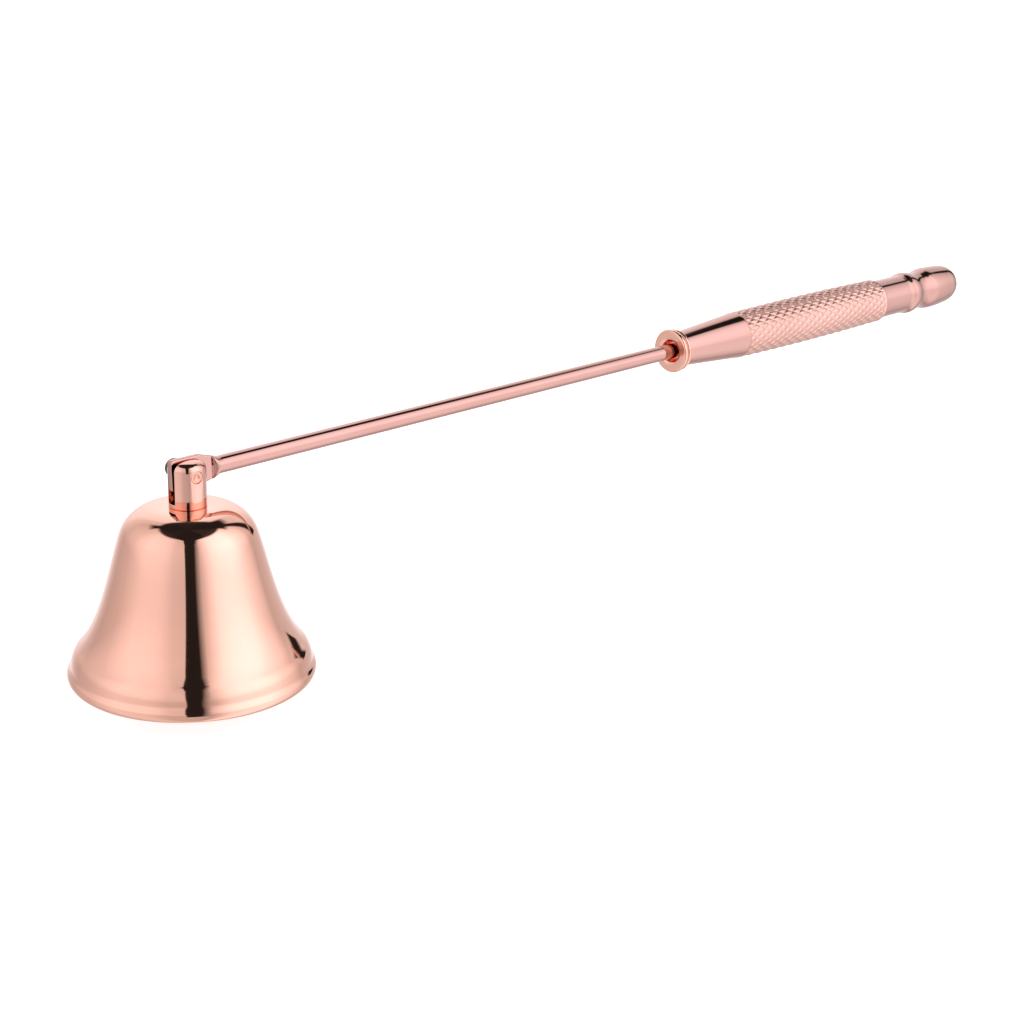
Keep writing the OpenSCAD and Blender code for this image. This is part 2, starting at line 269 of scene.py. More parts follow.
def polished(name, color, dark, rough, marks_run, relief, scratch):
    """Polished plating: a tone that drifts, faint tool marks, fine scratches and dull specks.
    rough is the range of its roughness. marks_run stretches the tool marks, so that they run round
    or along a piece. relief and scratch are the strengths of the marks and of the scratches."""
    n = Nodes(name)
    n.bsdf.inputs["Metallic"].default_value = 1.0
    coords = n.add("ShaderNodeTexCoord")
    drift = n.add("ShaderNodeTexNoise", Scale=60.0, Detail=3.0, Roughness=0.5)
    n.link(coords.outputs["Object"], drift.inputs["Vector"])
    tone = n.add("ShaderNodeValToRGB")
    tone.color_ramp.elements[0].position = 0.3
    tone.color_ramp.elements[0].color = (*dark, 1)
    tone.color_ramp.elements[1].position = 0.62
    tone.color_ramp.elements[1].color = (*color, 1)
    n.link(drift.outputs["Fac"], tone.inputs["Fac"])
    n.link(tone.outputs["Color"], n.bsdf.inputs["Base Color"])

    marks_at = n.add("ShaderNodeMapping")
    marks_at.inputs["Scale"].default_value = marks_run
    n.link(coords.outputs["Object"], marks_at.inputs["Vector"])
    marks = n.add("ShaderNodeTexNoise", Scale=900.0, Detail=6.0, Roughness=0.65)
    n.link(marks_at.outputs["Vector"], marks.inputs["Vector"])
    specks = n.add("ShaderNodeTexNoise", Scale=2600.0, Detail=2.0, Roughness=0.5)
    n.link(coords.outputs["Object"], specks.inputs["Vector"])
    both = n.add("ShaderNodeMath", operation="MULTIPLY_ADD")
    both.inputs[1].default_value = SPECK_SHARE
    n.link(specks.outputs["Fac"], both.inputs[0])
    n.link(marks.outputs["Fac"], both.inputs[2])
    gloss = n.add("ShaderNodeMapRange")
    gloss.inputs["From Min"].default_value = 0.35
    gloss.inputs["From Max"].default_value = 0.95
    gloss.inputs["To Min"].default_value = rough[0]
    gloss.inputs["To Max"].default_value = rough[1]
    n.link(both.outputs[0], gloss.inputs["Value"])
    n.link(gloss.outputs["Result"], n.bsdf.inputs["Roughness"])

    hairs = n.add("ShaderNodeTexNoise", Scale=5000.0, Detail=2.0, Roughness=0.6)
    hairs_at = n.add("ShaderNodeMapping")
    hairs_at.inputs["Rotation"].default_value = (0.4, 0.9, 0.3)
    hairs_at.inputs["Scale"].default_value = (1, 0.03, 1)
    n.link(coords.outputs["Object"], hairs_at.inputs["Vector"])
    n.link(hairs_at.outputs["Vector"], hairs.inputs["Vector"])
    coarse = n.add("ShaderNodeBump", Strength=relief, Distance=MARKS_DEPTH)
    n.link(marks.outputs["Fac"], coarse.inputs["Height"])
    fine = n.add("ShaderNodeBump", Strength=scratch, Distance=SCRATCH_DEPTH)
    n.link(hairs.outputs["Fac"], fine.inputs["Height"])
    n.link(coarse.outputs["Normal"], fine.inputs["Normal"])
    n.link(fine.outputs["Normal"], n.bsdf.inputs["Normal"])
    return n.mat


# Colours, and the darker tone that each drifts to
ROSE = (0.95, 0.525, 0.405)
ROSE_DARK = (0.92, 0.495, 0.375)
POST = (0.86, 0.48, 0.385)
POST_DARK = (0.82, 0.445, 0.35)
PINK = (0.61, 0.345, 0.295)
PINK_DARK = (0.58, 0.32, 0.268)
GRIP = (0.78, 0.455, 0.38)
GRIP_DARK = (0.73, 0.41, 0.335)
RIVET = (0.8, 0.4, 0.3)
RIVET_DARK = (0.7, 0.33, 0.25)
# Near-black colour for the rivet's far head, and the darker tone it drifts to
HEAD_BLACK = (0.13, 0.1, 0.095)
HEAD_BLACK_DARK = (0.1, 0.075, 0.07)
ZINC = (0.62, 0.63, 0.65)
ZINC_DARK = (0.5, 0.5, 0.5)
# How the tool marks run
ALL_WAYS, ROUND_BELL, ROUND_POST = (1, 1, 1), (0.2, 0.2, 3.0), (0.2, 0.2, 4.0)
ALONG_X, ROUND_X = (0.05, 2.0, 2.0), (4.0, 0.2, 0.2)

mat_bell = polished("bell_rose_gold", ROSE, ROSE_DARK, rough=(0.035, 0.07), marks_run=ROUND_BELL,
                    relief=0.05, scratch=0.03)
mat_post = polished("post_rose_gold", POST, POST_DARK, rough=(0.05, 0.1), marks_run=ROUND_POST,
                    relief=0.1, scratch=0.05)
mat_rivet = polished("rivet_rose_gold", RIVET, RIVET_DARK, rough=(0.08, 0.16), marks_run=ALL_WAYS,
                     relief=0.1, scratch=0.05)
# The rivet's far head is given a near-black colour
mat_head = polished("rivet_dark_head", HEAD_BLACK, HEAD_BLACK_DARK, rough=(0.16, 0.3), marks_run=ALL_WAYS,
                    relief=0.15, scratch=0.05)
mat_rod = polished("rod_rose_gold", PINK, PINK_DARK, rough=(0.05, 0.1), marks_run=ALONG_X,
                   relief=0.1, scratch=0.05)
mat_handle = polished("handle_rose_gold", PINK, PINK_DARK, rough=(0.06, 0.12), marks_run=ROUND_X,
                      relief=0.1, scratch=0.05)
mat_collar = polished("collar_rose_gold", ROSE, ROSE_DARK, rough=(0.06, 0.12), marks_run=ROUND_X,
                      relief=0.1, scratch=0.05)
mat_grip = polished("grip_rose_gold", GRIP, GRIP_DARK, rough=(0.24, 0.36), marks_run=ALL_WAYS,
                    relief=0.2, scratch=0.05)
mat_zinc = polished("zinc_plating", ZINC, ZINC_DARK, rough=(0.22, 0.38), marks_run=ALL_WAYS,
                    relief=0.4, scratch=0.1)


# ---------------------------------------------------------------- the bell

def bell():
    """Spun cup with a rolled rim, in one skin from the crown's hole out, down, round the roll and
    up inside."""
    wall = RIM_R - ROLL_PROUD
    roll_x, roll_z = RIM_R - ROLL_R, ROLL_R - REST_CUT
    lip_z = roll_z + math.sqrt(ROLL_R ** 2 - (ROLL_R - ROLL_PROUD) ** 2)

    def down(lean):
        """The direction down and outwards that leans by an angle from the bell's axis."""
        return Vector((math.sin(math.radians(lean)), -math.cos(math.radians(lean))))

    def turn(x, r):
        """The angle at which a circle of radius r about the roll's middle is at x."""
        return math.degrees(math.acos((x - roll_x) / r))

    shoulder = arc(CROWN_FLAT_R, BELL_H - SHOULDER_R, SHOULDER_R, 90, SHOULDER_LEAN, n=40)
    lip = arc(wall - LIP_R, lip_z, LIP_R, LIP_LEAN, 0, n=24)
    top, foot = Vector(shoulder[-1]), Vector(lip[0])
    span = (foot - top).length
    flare = cubic(top, top + FLARE_PULL_HIGH * span * down(SHOULDER_LEAN),
                  foot - FLARE_PULL_LOW * span * down(LIP_LEAN), foot, n=64)[1:-1]

    # outside, a fillet takes the lip over to the roll
    low = arc(wall - LIP_R, lip_z, LIP_R, LIP_LEAN, FILLET_LEAN, n=24)
    fillet_turn = math.radians(FILLET_TURN)
    p0 = Vector(low[-1])
    p3 = Vector((roll_x + ROLL_R * math.cos(fillet_turn), roll_z + ROLL_R * math.sin(fillet_turn)))
    fillet = cubic(p0, p0 + FILLET_PULL * down(FILLET_LEAN),
                   p3 - FILLET_PULL * down(FILLET_TURN), p3, n=16)

    # round the roll, which has a narrow flat to rest on and ends a slit away from the wall
    hollow = ROLL_R - SHEET
    rest = math.degrees(math.acos(roll_z / ROLL_R))
    edge = wall - SHEET - ROLL_SLIT
    roll = (arc(roll_x, roll_z, ROLL_R, FILLET_TURN, rest - 90, n=32)
            + arc(roll_x, roll_z, ROLL_R, -rest - 90, turn(edge, ROLL_R) - 360, n=32)
            + arc(roll_x, roll_z, hollow, turn(edge, hollow) - 360, turn(wall - SHEET, hollow),
                  n=32))
    inside = list(reversed(aside(shoulder + flare + lip, SHEET)))
    line = ([(STUD_HOLE_R, BELL_H)] + shoulder + flare + low + fillet[1:] + roll[1:]
            + inside + [(STUD_HOLE_R, UNDER_CROWN)])
    verts, faces = lathe(line, n=320)
    obj = piece("bell_shell", verts, faces, UP, "bell_head", "bell", sharp=30)
    obj.data.materials.append(mat_bell)


# ---------------------------------------------------------------- the fork post

def thread(z0, z1):
    """Rows of the stud's screw thread from z0 up to z1, faded at its lower end."""
    rows = []
    count = int(round((z1 - z0) / THREAD_STEP))
    for i in range(count + 1):
        z = z0 + (z1 - z0) * i / count
        lead = min(1.0, (z - z0) / (THREAD_FADE * THREAD_PITCH))

        def radius(a, z=z, lead=lead):
            phase = (z / THREAD_PITCH - a / (2 * math.pi)) % 1.0
            groove = max(0.0, 1 - abs(phase - 0.5) / THREAD_GROOVE)
            return STUD_R - THREAD_DEPTH * (groove * lead + (1 - lead) * THREAD_POINT)
        rows.append(ring(radius, z, POST_SIDES))
    return rows


def apply(obj):
    """Makes a piece's modifiers part of its mesh."""
    bpy.context.view_layer.update()
    shaped = obj.evaluated_get(bpy.context.evaluated_depsgraph_get())
    done = bpy.data.meshes.new_from_object(shaped)
    obj.modifiers.clear()
    obj.data = done


def cut(obj, name, verts, faces, place):
    """Takes a closed tool shape out of a piece."""
    mesh = bpy.data.meshes.new(name)
    mesh.from_pydata([tuple(place @ (Vector(v) * MM)) for v in verts], [], faces)
    tool = bpy.data.objects.new(name, mesh)
    bpy.context.scene.collection.objects.link(tool)
    mod = obj.modifiers.new(name, "BOOLEAN")
    mod.operation = "DIFFERENCE"
    mod.solver = "EXACT"
    mod.object = tool
    apply(obj)
    bpy.data.objects.remove(tool)


def block(lo, hi):
    """A box between two corners, as a tool for cut()."""
    xs, ys, zs = zip(lo, hi)
    verts = [(x, y, z) for x in xs for y in ys for z in zs]
    faces = [(0, 1, 3, 2), (4, 6, 7, 5), (0, 4, 5, 1), (2, 3, 7, 6), (0, 2, 6, 4), (1, 5, 7, 3)]
    return verts, faces


def pin(r, lo=-OUTSIDE, hi=OUTSIDE):
    """A closed cylinder from lo to hi, as a tool for cut()."""
    return surface([[(0, 0, lo)], ring(r, lo, 48), ring(r, hi, 48), [(0, 0, hi)]])


SOFTENED_SHARP = 45


def soften(obj, width, segments, limit):
    """Rounds a piece's edges that are sharper than a limit."""
    mod = obj.modifiers.new("edges", "BEVEL")
    mod.width = width * MM
    mod.segments = segments
    mod.limit_method = "ANGLE"
    mod.angle_limit = math.radians(limit)
    mod.harden_normals = False
    apply(obj)
    obj.data.shade_smooth()
    obj.data.set_sharp_from_angle(angle=math.radians(SOFTENED_SHARP))


def fork_post():
    """Turned post with a crowned top, a sawn slot for the eye and the threaded stud under it."""
    pivot_z = BELL_H + PIVOT_H
    crown_z = pivot_z + CROWN_H - CROWN_R
    reach, edge_x = CROWN_R - CROWN_EDGE, POST_R - CROWN_EDGE
    edge_z = crown_z + math.sqrt(reach ** 2 - edge_x ** 2)
    turn = math.degrees(math.acos(edge_x / reach))
    stud_end = NUT_TOP - NUT_H - STUD_END
    rows = [[(0, 0, stud_end)]] + thread(stud_end, UNDER_CROWN - THREAD_END)
    line = [(STUD_R, UNDER_CROWN), (STUD_R, BELL_H), (POST_R - POST_FOOT, BELL_H),
            (POST_R, BELL_H + POST_FOOT)]
    line += arc(edge_x, edge_z, CROWN_EDGE, 0, turn, n=14)
    line += arc(0, crown_z, CROWN_R, turn, 90, n=16)[1:]
    rows += [ring(r, z, POST_SIDES) for r, z in line]
    verts, faces = surface(rows)
    obj = piece("fork_post_turned", verts, faces, UP, "bell_head", "fork_post",
                sharp=35)
    slot_lo = (-OUTSIDE, -SLOT_W / 2, BELL_H + SLOT_FLOOR)
    cut(obj, "slot", *block(slot_lo, (OUTSIDE, SLOT_W / 2, pivot_z + OUTSIDE)), UP)
    cut(obj, "rivet_hole", *pin(RIVET_R + FIT), ACROSS_POST)
    cut(obj, "head_seat", *pin(SEAT_R, lo=SEAT_Y), ACROSS_POST)
    soften(obj, POST_EDGE, segments=3, limit=38)
    obj.data.materials.append(mat_post)


def pivot_rivet():
    """Rivet with a round head on the far side and a dished tail, flush with the near cheek."""
    tail_y = -math.sqrt(POST_R ** 2 - RIVET_R ** 2)
    line = rounded([(0, tail_y + DISH_DEPTH), (DISH_SHARE * RIVET_R, tail_y), (RIVET_R, tail_y),
                    (RIVET_R, tail_y + TAIL_LEN)], [0, DISH_ROUND, TAIL_ROUND, 0])
    line += [(RIVET_R, SEAT_Y), (HEAD_R, SEAT_Y)]
    line += arc(HEAD_R - HEAD_ROUND, SEAT_Y + HEAD_H - HEAD_ROUND, HEAD_ROUND, 0, HEAD_ARC, n=16)
    line += [(HEAD_TOP_R, SEAT_Y + HEAD_H + HEAD_CROWN * HEAD_TOP_RISE),
             (0, SEAT_Y + HEAD_H + HEAD_CROWN)]
    verts, faces = lathe(line, n=96, closed=False)
    obj = piece("rivet_turned", verts, faces, ACROSS_POST, "bell_head",
                "pivot_rivet", sharp=40)
    obj.data.materials.append(mat_rivet)
    obj.data.materials.append(mat_head)
    for face in obj.data.polygons:
        face.material_index = int(face.center.y > RIM.y + (SEAT_Y - HEAD_MARGIN) * MM)


# ---------------------------------------------------------------- hardware in the bell

def washer(name, z0, thickness, outer, node, split=0.0):
    """A flat ring with rounded edges, with a gap if it is a split washer."""
    soft = WASHER_EDGE * thickness
    line = [(STUD_HOLE_R, z0 + soft), (STUD_HOLE_R + soft, z0), (outer - 2 * soft, z0),
            (outer, z0 + 2 * soft), (outer, z0 + thickness - 2 * soft),
            (outer - 2 * soft, z0 + thickness), (STUD_HOLE_R + soft, z0 + thickness),
            (STUD_HOLE_R, z0 + thickness - soft)]
    sides, corners = 96, len(line)
    if split:
        gap = split / outer
        verts, faces = [], []
        for k in range(sides + 1):
            a = gap / 2 + (2 * math.pi - gap) * k / sides
            verts.extend((r * math.cos(a), r * math.sin(a), z) for r, z in line)
        for k in range(sides):
            here, there = k * corners, (k + 1) * corners
            for j in range(corners):
                i = (j + 1) % corners
                faces.append((here + j, there + j, there + i, here + i))
        faces.append(tuple(range(corners)))
        faces.append(tuple(reversed(range(sides * corners, (sides + 1) * corners))))
    else:
        verts, faces = lathe(line, sides)
    obj = piece(name, verts, faces, UP, "bell_head", node, sharp=30)
    obj.data.materials.append(mat_zinc)


def hex_nut():
    """Hexagon nut with its corners turned back on both faces, and a plain hole that is wider at
    its mouths."""
    half = NUT_AF / 2
    corner = half / math.cos(math.radians(30))
    low = NUT_TOP - NUT_H
    sides, steps, hole_rows = 144, 10, 48

    def hexagon(limit):
        """Radius of a hexagon by angle, turned down to a limit."""
        return lambda a: min(half / math.cos((a % (math.pi / 3)) - math.pi / 6), limit)

    def bevelled(rise):
        return hexagon(corner - NUT_BEVEL + rise * NUT_BEVEL_SLOPE)

    rises = [NUT_BEVEL * NUT_BEVEL_H * i / steps for i in range(steps + 1)]
    rows = [ring(bevelled(rise), low + rise, sides) for rise in rises]
    rows += [ring(bevelled(rise), NUT_TOP - rise, sides) for rise in reversed(rises)]
    for i in range(hole_rows + 1):
        mouth = NUT_MOUTH if i in (0, hole_rows) else 0.0
        rows.append(ring(STUD_R + FIT + mouth, NUT_TOP - NUT_H * i / hole_rows, sides))
    verts, faces = surface(rows, True)
    obj = piece("hex_nut_m3", verts, faces, UP, "bell_head", "hex_nut", sharp=25)
    obj.data.materials.append(mat_zinc)


# ---------------------------------------------------------------- rod and handle

def bar_section(s, half_w, half_t, power):
    """A row of points round the rod at distance s: an oval at power 2, nearly a rectangle at a
    high power."""
    row = []
    for k in range(ROD_POINTS):
        a = 2 * math.pi * k / ROD_POINTS
        c, d = math.cos(a), math.sin(a)
        row.append((half_w * math.copysign(abs(c) ** (2 / power), c),
                    half_t * math.copysign(abs(d) ** (2 / power), d), s))
    return row


def rod():
    """Round rod whose front end is forged flat into an eye. Its rows run from the eye's end to
    its tail."""
    half_t = EYE_T / 2
    corner_rows, flat_rows, taper_rows = 10, 12, 32
    rows = [[(0, 0, -EYE_END)],
            bar_section(-EYE_END, EYE_R - EYE_CORNER, half_t - EYE_THIN, FLAT_POWER)]
    for i in range(1, corner_rows + 1):
        a = math.radians(90 * i / corner_rows)
        thin = EYE_THIN * max(0.0, 1 - 3 * i / corner_rows)
        rows.append(bar_section(-EYE_END + EYE_CORNER * (1 - math.cos(a)),
                                EYE_R - EYE_CORNER * (1 - math.sin(a)), half_t - thin, FLAT_POWER))
    flat_start = -EYE_END + EYE_CORNER
    for i in range(1, flat_rows + 1):
        s = flat_start + (FLAT_LEN - flat_start) * i / flat_rows
        rows.append(bar_section(s, EYE_R, half_t, FLAT_POWER))
    # the width falls along the whole taper, and the thickness swells up at its end
    for i in range(1, taper_rows + 1):
        t = i / taper_rows
        s = FLAT_LEN + (TAPER_END - FLAT_LEN) * t
        w = EYE_R + (ROD_R - EYE_R) * (t + TAPER_WAVE * t * (1 - t) * (1 - 2 * t))
        u = min(1.0, max(0.0, (s - SWELL_START) / (TAPER_END - SWELL_START)))
        rise = math.sqrt(max(0.0, 1 - (1 - u) ** 2))
        rows.append(bar_section(s, w, half_t + (ROD_R - half_t) * rise,
                                FLAT_POWER + (ROUND_POWER - FLAT_POWER) * rise))
    tail = ROD_LEN + ROD_TAIL
    for s in (*ROUND_ROWS_AT, ROD_LEN, tail - ROD_TAIL_EDGE):
        rows.append(bar_section(s, ROD_R, ROD_R, ROUND_POWER))
    rows.append(bar_section(tail, ROD_R - ROD_TAIL_EDGE, ROD_R - ROD_TAIL_EDGE, ROUND_POWER))
    rows.append([(0, 0, tail)])
    verts, faces = surface(rows)
    # a row's first direction is the eye's width, which lies in the plane that the rod swings in
    verts = [(-y, x, z) for x, y, z in verts]
    obj = piece("rod_drawn", verts, faces, ALONG_ROD, "handle_arm", "rod", sharp=40)
    cut(obj, "eye", *pin(RIVET_R + EYE_FIT), ACROSS_EYE)
    soften(obj, EYE_EDGE, segments=2, limit=60)
    obj.data.materials.append(mat_rod)


def handle_lines():
    """The handle's outline in front of the grip, and behind it, as (radius, distance) pairs from
    its front."""
    root = COLLAR_R - RING_STEP - RING_ROUND
    ring_s = COLLAR_T + RING_GAP + RING_T / 2
    boss_s, bore = RECESS_DEPTH - RECESS_BOSS, ROD_R + FIT
    front = [(ROD_TAIL, bore), (boss_s, bore), (boss_s, bore + RECESS_LAND),
             (RECESS_DEPTH, RECESS_R - CREASE)]
    front += arc(RECESS_ROUND, RECESS_R + RECESS_ROUND, RECESS_ROUND, 270, 180, n=16)
    front += arc(COLLAR_ROUND, COLLAR_R - COLLAR_ROUND, COLLAR_ROUND, 180, 90, n=12)
    front += arc(COLLAR_T - COLLAR_ROUND, COLLAR_R - COLLAR_ROUND, COLLAR_ROUND, 90, 0, n=12)
    front += [(COLLAR_T, root + CREASE), (COLLAR_T + RING_GAP, root)]
    front += arc(ring_s, root, RING_ROUND, 170, 20, n=20)
    front += [(CONE_START, CONE_R - CREASE / 3), (CONE_START + CONE_EDGE, CONE_R),
              (GRIP_START - GRIP_EDGE, GRIP_FRONT_R - GRIP_LIP)]

    end = GRIP_START + GRIP_LEN
    waist = end + NECK_LEN
    bead_s, bead = waist - BEAD_FALL, NECK_R + BEAD_STEP
    knob_front, step_r, total = KNOB_LEN - DOME_LEN, KNOB_R - KNOB_STEP, waist + KNOB_LEN
    knob_s, step_s = waist + KNOB_RISE, waist + knob_front
    slim = NECK_R - NECK_WAIST
    back = [(end + GRIP_STEP_LEN, GRIP_BACK_R - GRIP_STEP)]
    back += cubic((end + GRIP_EDGE, NECK_R), (end + NECK_LEN / 4, slim),
                  (end + NECK_LEN / 2, slim), (bead_s - BEAD_LIP - CREASE, slim))
    back += swell((bead_s - BEAD_LIP, NECK_R), (bead_s, bead))
    back += swell((bead_s + CREASE, bead), (waist, WAIST_R))
    back += swell((waist + CREASE, WAIST_R), (knob_s, KNOB_R))
    back += cubic((knob_s + CREASE, KNOB_R), (knob_s + knob_front / 4, KNOB_R),
                  (step_s - knob_front / 8, step_r + CREASE), (step_s, step_r + CREASE / 3))
    back += cubic((step_s + KNOB_STEP, step_r),
                  (total - DOME_LEN * DOME_PULL, step_r - KNOB_SWELL),
                  (total, step_r * END_SHARE), (total, 0), n=40)
    return [(y, x) for x, y in front], [(y, x) for x, y in back]


def grip_radius(t):
    """Radius of the grip's barrel at t, from 0 at its front to 1 at its back."""
    p1 = GRIP_FRONT_R + (GRIP_MID_R - GRIP_FRONT_R) * GRIP_FRONT_PULL
    p2 = GRIP_BACK_R + (GRIP_MID_R - GRIP_BACK_R) * GRIP_BACK_PULL
    u = 1 - t
    return u ** 3 * GRIP_FRONT_R + 3 * u * u * t * p1 + 3 * u * t * t * p2 + t ** 3 * GRIP_BACK_R


def knurl(s):
    """Radius of the grip by angle, at s from the handle's front: a barrel with two crossing sets
    of grooves."""
    end = GRIP_START + GRIP_LEN
    crest = grip_radius((s - GRIP_START) / GRIP_LEN)
    fade = max(0.0, min(1.0, (s - GRIP_START) / KNURL_FADE, (end - s) / KNURL_FADE))
    turn = s / (2 * math.pi * GRIP_MID_R / math.tan(math.radians(KNURL_ANGLE)))

    def radius(a):
        deep = 0.0
        for way in (1, -1):
            phase = (KNURL_STARTS * (a / (2 * math.pi) + way * turn)) % 1.0
            deep = max(deep, abs(2 * phase - 1) ** KNURL_POWER)
        return crest - KNURL_DEPTH * deep * fade
    return radius


def handle():
    """Turned handle in one skin, from the blind end of its bore out and back to the knob."""
    n = KNURL_STARTS * KNURL_POINTS
    front, back = handle_lines()
    count = int(GRIP_LEN / KNURL_ROWS_APART)
    rows = [[(0, 0, ROD_TAIL)]] + [ring(r, s, n) for r, s in front]
    for i in range(count + 1):
        s = GRIP_START + GRIP_LEN * i / count
        rows.append(ring(knurl(s), s, n))
    rows += [ring(r, s, n) for r, s in back]
    verts, faces = surface(rows)
    place = ALONG_ROD @ Matrix.Translation((0, 0, ROD_LEN * MM))
    obj = piece("handle_turned", verts, faces, place, "handle_arm", "handle",
                sharp=50)
    for mat in (mat_handle, mat_grip, mat_collar):
        obj.data.materials.append(mat)
    for face in obj.data.polygons:
        s = (place.inverted() @ face.center).z / MM
        on_grip = GRIP_START + KNURL_MARGIN < s < GRIP_START + GRIP_LEN - KNURL_MARGIN
        face.material_index = 2 if s < CONE_START else int(on_grip)


bell()
fork_post()
pivot_rivet()
washer("flat_washer_ring", SPRING_TOP, WASHER_T, WASHER_R, "flat_washer")
washer("spring_washer_split", NUT_TOP, SPRING_T, SPRING_R, "spring_washer",
       split=SPRING_SPLIT)
hex_nut()
rod()
handle()


# ---------------------------------------------------------------- floor, light and camera

# The tool is held in the air. The rim can swing lower than it hangs, so the floor is below its
# lowest reach.
FLOOR_DROP = 6.0
FLOOR_REACH = 3.0


def floor():
    """Plain white table under the bell."""
    z = RIM.z - FLOOR_DROP * MM
    corners = [(x * FLOOR_REACH, y * FLOOR_REACH, z)
               for x, y in ((-1, -1), (1, -1), (1, 1), (-1, 1))]
    mesh = bpy.data.meshes.new("floor")
    mesh.from_pydata(corners, [], [(0, 1, 2, 3)])
    obj = bpy.data.objects.new("floor", mesh)
    bpy.context.scene.collection.objects.link(obj)
    n = Nodes("floor_white")
    n.bsdf.inputs["Base Color"].default_value = (0.85, 0.85, 0.85, 1)
    n.bsdf.inputs["Roughness"].default_value = 0.9
    n.bsdf.inputs["Emission Color"].default_value = (1, 1, 1, 1)
    n.bsdf.inputs["Emission Strength"].default_value = 0.75
    mesh.materials.append(n.mat)
    obj.visible_glossy = False


# Camera in the bell's own frame, in millimetres, and the way it looks
CAM_AT = Vector((-150.10, -242.67, 125.22))
CAM_PITCH, CAM_ROLL, CAM_LENS = 18.77, 1.63, 64.615
CAM_LOOK = Vector((0.6371, 0.7003, 0.0)).normalized()


def camera():
    """Camera at the height and angle of the product view."""
    data = bpy.data.cameras.new("camera")
    data.sensor_width = 36.0
    data.lens = CAM_LENS
    data.clip_start, data.clip_end = 0.01, 20.0
    cam = bpy.data.objects.new("camera", data)
    bpy.context.scene.collection.objects.link(cam)
    pitch, roll = math.radians(CAM_PITCH), math.radians(CAM_ROLL)
    forward = CAM_LOOK * math.cos(pitch) - Vector((0, 0, math.sin(pitch)))
    right = Vector((CAM_LOOK.y, -CAM_LOOK.x, 0))
    up = right.cross(forward)
    tilted_right = right * math.cos(roll) + up * math.sin(roll)
    tilted_up = up * math.cos(roll) - right * math.sin(roll)
    turn = Matrix((tilted_right, tilted_up, -forward)).transposed()
    cam.matrix_world = Matrix.Translation(RIM + CAM_AT * MM) @ turn.to_4x4()
    bpy.context.scene.camera = cam


# The studio as the piece sees it: brightness by direction, in degrees. Azimuth is measured from
# the camera's side to the right as the camera sees it. Two large soft boxes, the right one
# brighter, meet in a dark gap at the camera. A second gap is at the back right, and the ceiling
# is dark.
BOXES = [(-180, 1.35), (-165, 1.25), (-155, 1.2), (-145, 0.92), (-132, 0.76), (-118, 0.84),
         (-105, 0.92), (-92, 1.08), (-75, 1.24), (-60, 1.22), (-45, 1.17), (-35, 1.06),
         (-25, 0.9), (-12, 0.84), (0, 0.8), (15, 0.72), (25, 1.13), (35, 1.52), (48, 1.72),
         (65, 1.83), (78, 1.77), (86, 1.6), (95, 1.38), (108, 1.12), (118, 0.8), (150, 0.95),
         (160, 1.2), (180, 1.35)]
HEIGHTS = [(-90, 0.75), (-25, 0.8), (-6, 0.78), (2, 0.8), (6, 0.88), (15, 0.97), (30, 1.0),
           (50, 0.93), (57, 0.88), (61, 0.03), (70, 0.02), (90, 0.02)]
BRIGHTEST, DARKEST = 2.0, 0.02
# Half the width of the front gap by height. Its right edge is soft, and its foot is under the
# horizon.
FRONT_GAP = [(-90, 6), (0, 6), (30, 8), (45, 9), (57, 13.5), (61, 36), (90, 36)]
FRONT_GAP_WIDEST, FRONT_GAP_FOOT, FRONT_GAP_SOFT = 40.0, -12.0, 9.0
BACK_GAP_AT, BACK_GAP_LEAN, BACK_GAP_HALF, BACK_GAP_SOFT = 135.0, 0.28, 3.0, 5.0
# Where the dark ceiling comes lower: azimuth, half the width, and softness of its sides
LOW_CEILINGS = [(127.0, 19.0, 8.0), (-123.0, 5.0, 6.0)]
LOW_CEILING_FROM, LOW_CEILING_TO = 44.0, 54.0
# The light's tint where it is dark and where it is bright
DIM_TINT, BRIGHT_TINT = (1.0, 0.985, 0.96, 1), (0.98, 1.0, 1.1, 1)


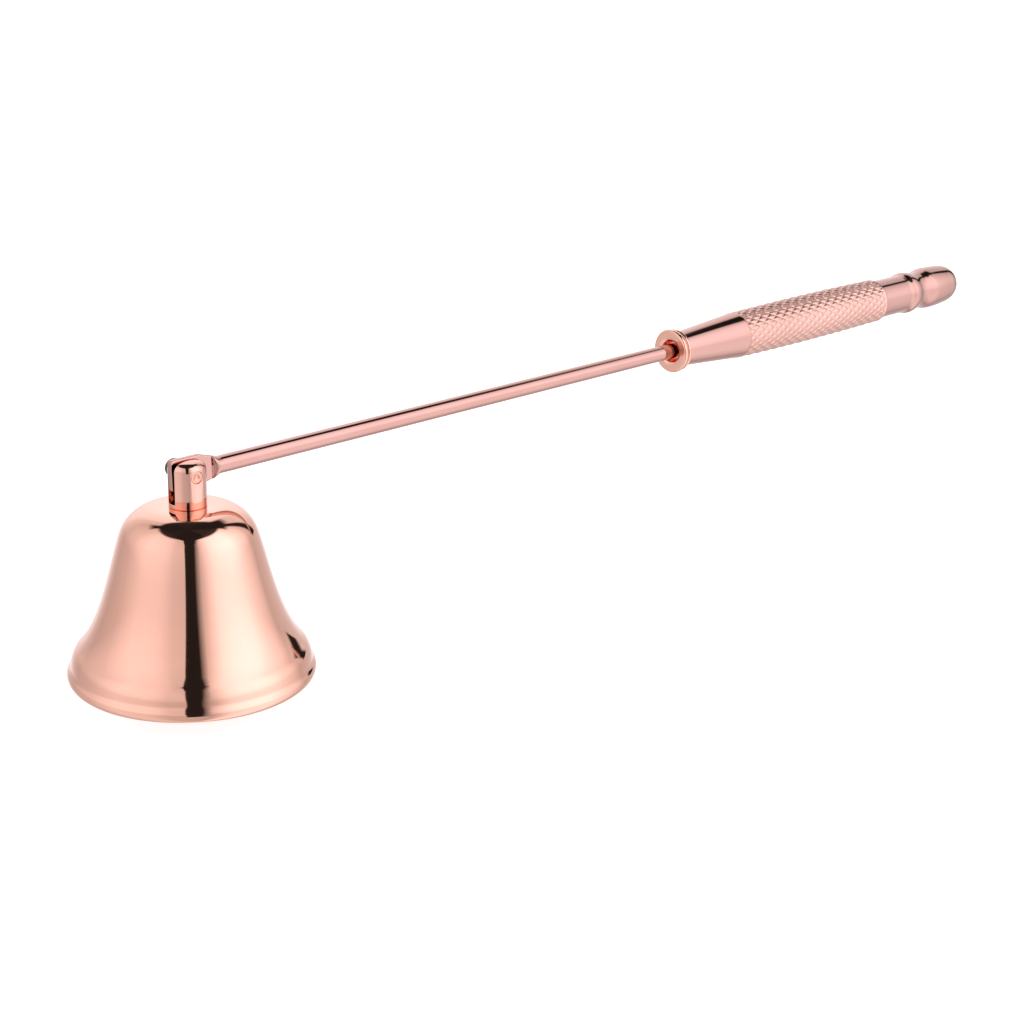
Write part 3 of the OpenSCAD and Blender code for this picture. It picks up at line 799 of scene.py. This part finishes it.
def studio():
    """World light: soft boxes for reflections and light, and plain white where the camera looks
    past the part."""
    world = bpy.data.worlds.new("studio")
    bpy.context.scene.world = world
    world.use_nodes = True
    tree = world.node_tree
    tree.nodes.clear()

    def add(kind, **settings):
        node = tree.nodes.new(kind)
        for key, value in settings.items():
            setattr(node, key, value)
        return node

    def calc(operation, *values):
        """The output of a math node whose inputs are numbers or other outputs."""
        node = add("ShaderNodeMath", operation=operation)
        for i, v in enumerate(values):
            if isinstance(v, (int, float)):
                node.inputs[i].default_value = v
            else:
                tree.links.new(v, node.inputs[i])
        return node.outputs[0]

    def ramp(value, levels, top):
        """The level at a value, read from (value, level) pairs with no level over top."""
        low, high = levels[0][0], levels[-1][0]
        node = add("ShaderNodeValToRGB")
        stops = node.color_ramp.elements
        for at, level in levels[1:-1]:
            stops.new((at - low) / (high - low))
        for stop, (at, level) in zip(stops, levels):
            stop.color = (level / top, level / top, level / top, 1)
        along = calc("DIVIDE", calc("SUBTRACT", value, low), high - low)
        tree.links.new(along, node.inputs["Fac"])
        return calc("MULTIPLY", node.outputs["Color"], top)

    coords = add("ShaderNodeTexCoord")
    spin = add("ShaderNodeVectorRotate", rotation_type="Z_AXIS")
    spin.inputs["Angle"].default_value = -math.atan2(CAM_AT.y, CAM_AT.x)
    split = add("ShaderNodeSeparateXYZ")
    tree.links.new(coords.outputs["Generated"], spin.inputs["Vector"])
    tree.links.new(spin.outputs["Vector"], split.inputs["Vector"])
    azimuth = calc("MULTIPLY", calc("ARCTAN2", split.outputs["Y"], split.outputs["X"]),
                   180 / math.pi)
    height = calc("MULTIPLY", calc("ARCSINE", split.outputs["Z"]), 180 / math.pi)
    level = calc("MULTIPLY", ramp(azimuth, BOXES, BRIGHTEST), ramp(height, HEIGHTS, BRIGHTEST))

    # the front gap widens towards the ceiling
    half = ramp(height, FRONT_GAP, FRONT_GAP_WIDEST)
    left = calc("SUBTRACT", calc("MULTIPLY", azimuth, -1.0), half)
    right = calc("DIVIDE", calc("SUBTRACT", azimuth, half), FRONT_GAP_SOFT)
    beside = calc("MINIMUM", calc("MAXIMUM", calc("MAXIMUM", left, right), 0.0), 1.0)
    level = calc("MULTIPLY", level,
                 calc("MAXIMUM", beside, calc("LESS_THAN", height, FRONT_GAP_FOOT)))

    # the back gap leans, and ends at the horizon
    centre = calc("SUBTRACT", BACK_GAP_AT, calc("MULTIPLY", height, BACK_GAP_LEAN))
    off = calc("ABSOLUTE", calc("SUBTRACT", azimuth, centre))
    gap = add("ShaderNodeMapRange")
    gap.interpolation_type = "SMOOTHSTEP"
    gap.inputs["From Min"].default_value = BACK_GAP_HALF
    gap.inputs["From Max"].default_value = BACK_GAP_HALF + BACK_GAP_SOFT
    tree.links.new(off, gap.inputs["Value"])
    under = calc("LESS_THAN", height, 0.0)
    level = calc("MULTIPLY", level, calc("MAXIMUM", gap.outputs["Result"], under))

    # the ceiling comes lower at two places
    low_ceiling = add("ShaderNodeMapRange")
    low_ceiling.interpolation_type = "SMOOTHSTEP"
    low_ceiling.inputs["From Min"].default_value = LOW_CEILING_FROM
    low_ceiling.inputs["From Max"].default_value = LOW_CEILING_TO
    low_ceiling.inputs["To Min"].default_value = 1.0
    low_ceiling.inputs["To Max"].default_value = DARKEST
    tree.links.new(height, low_ceiling.inputs["Value"])
    for at, half_width, soft in LOW_CEILINGS:
        off = calc("SUBTRACT", calc("ABSOLUTE", calc("SUBTRACT", azimuth, at)), half_width)
        outside = calc("MINIMUM", calc("MAXIMUM", calc("DIVIDE", off, soft), 0.0), 1.0)
        level = calc("MULTIPLY", level, calc("MAXIMUM", low_ceiling.outputs["Result"], outside))
    level = calc("MAXIMUM", level, DARKEST)

    boxes = add("ShaderNodeBackground")
    tint = add("ShaderNodeValToRGB")
    tint.color_ramp.elements[0].color = DIM_TINT
    tint.color_ramp.elements[1].color = BRIGHT_TINT
    tree.links.new(calc("DIVIDE", level, BRIGHTEST), tint.inputs["Fac"])
    tree.links.new(tint.outputs["Color"], boxes.inputs["Color"])
    tree.links.new(level, boxes.inputs["Strength"])
    white = add("ShaderNodeBackground")
    white.inputs["Color"].default_value = (1, 1, 1, 1)
    path = add("ShaderNodeLightPath")
    mix = add("ShaderNodeMixShader")
    out = add("ShaderNodeOutputWorld")
    tree.links.new(path.outputs["Is Camera Ray"], mix.inputs["Fac"])
    tree.links.new(boxes.outputs[0], mix.inputs[1])
    tree.links.new(white.outputs[0], mix.inputs[2])
    tree.links.new(mix.outputs[0], out.inputs["Surface"])


floor()
camera()
studio()
bpy.context.scene.view_settings.view_transform = "Standard"
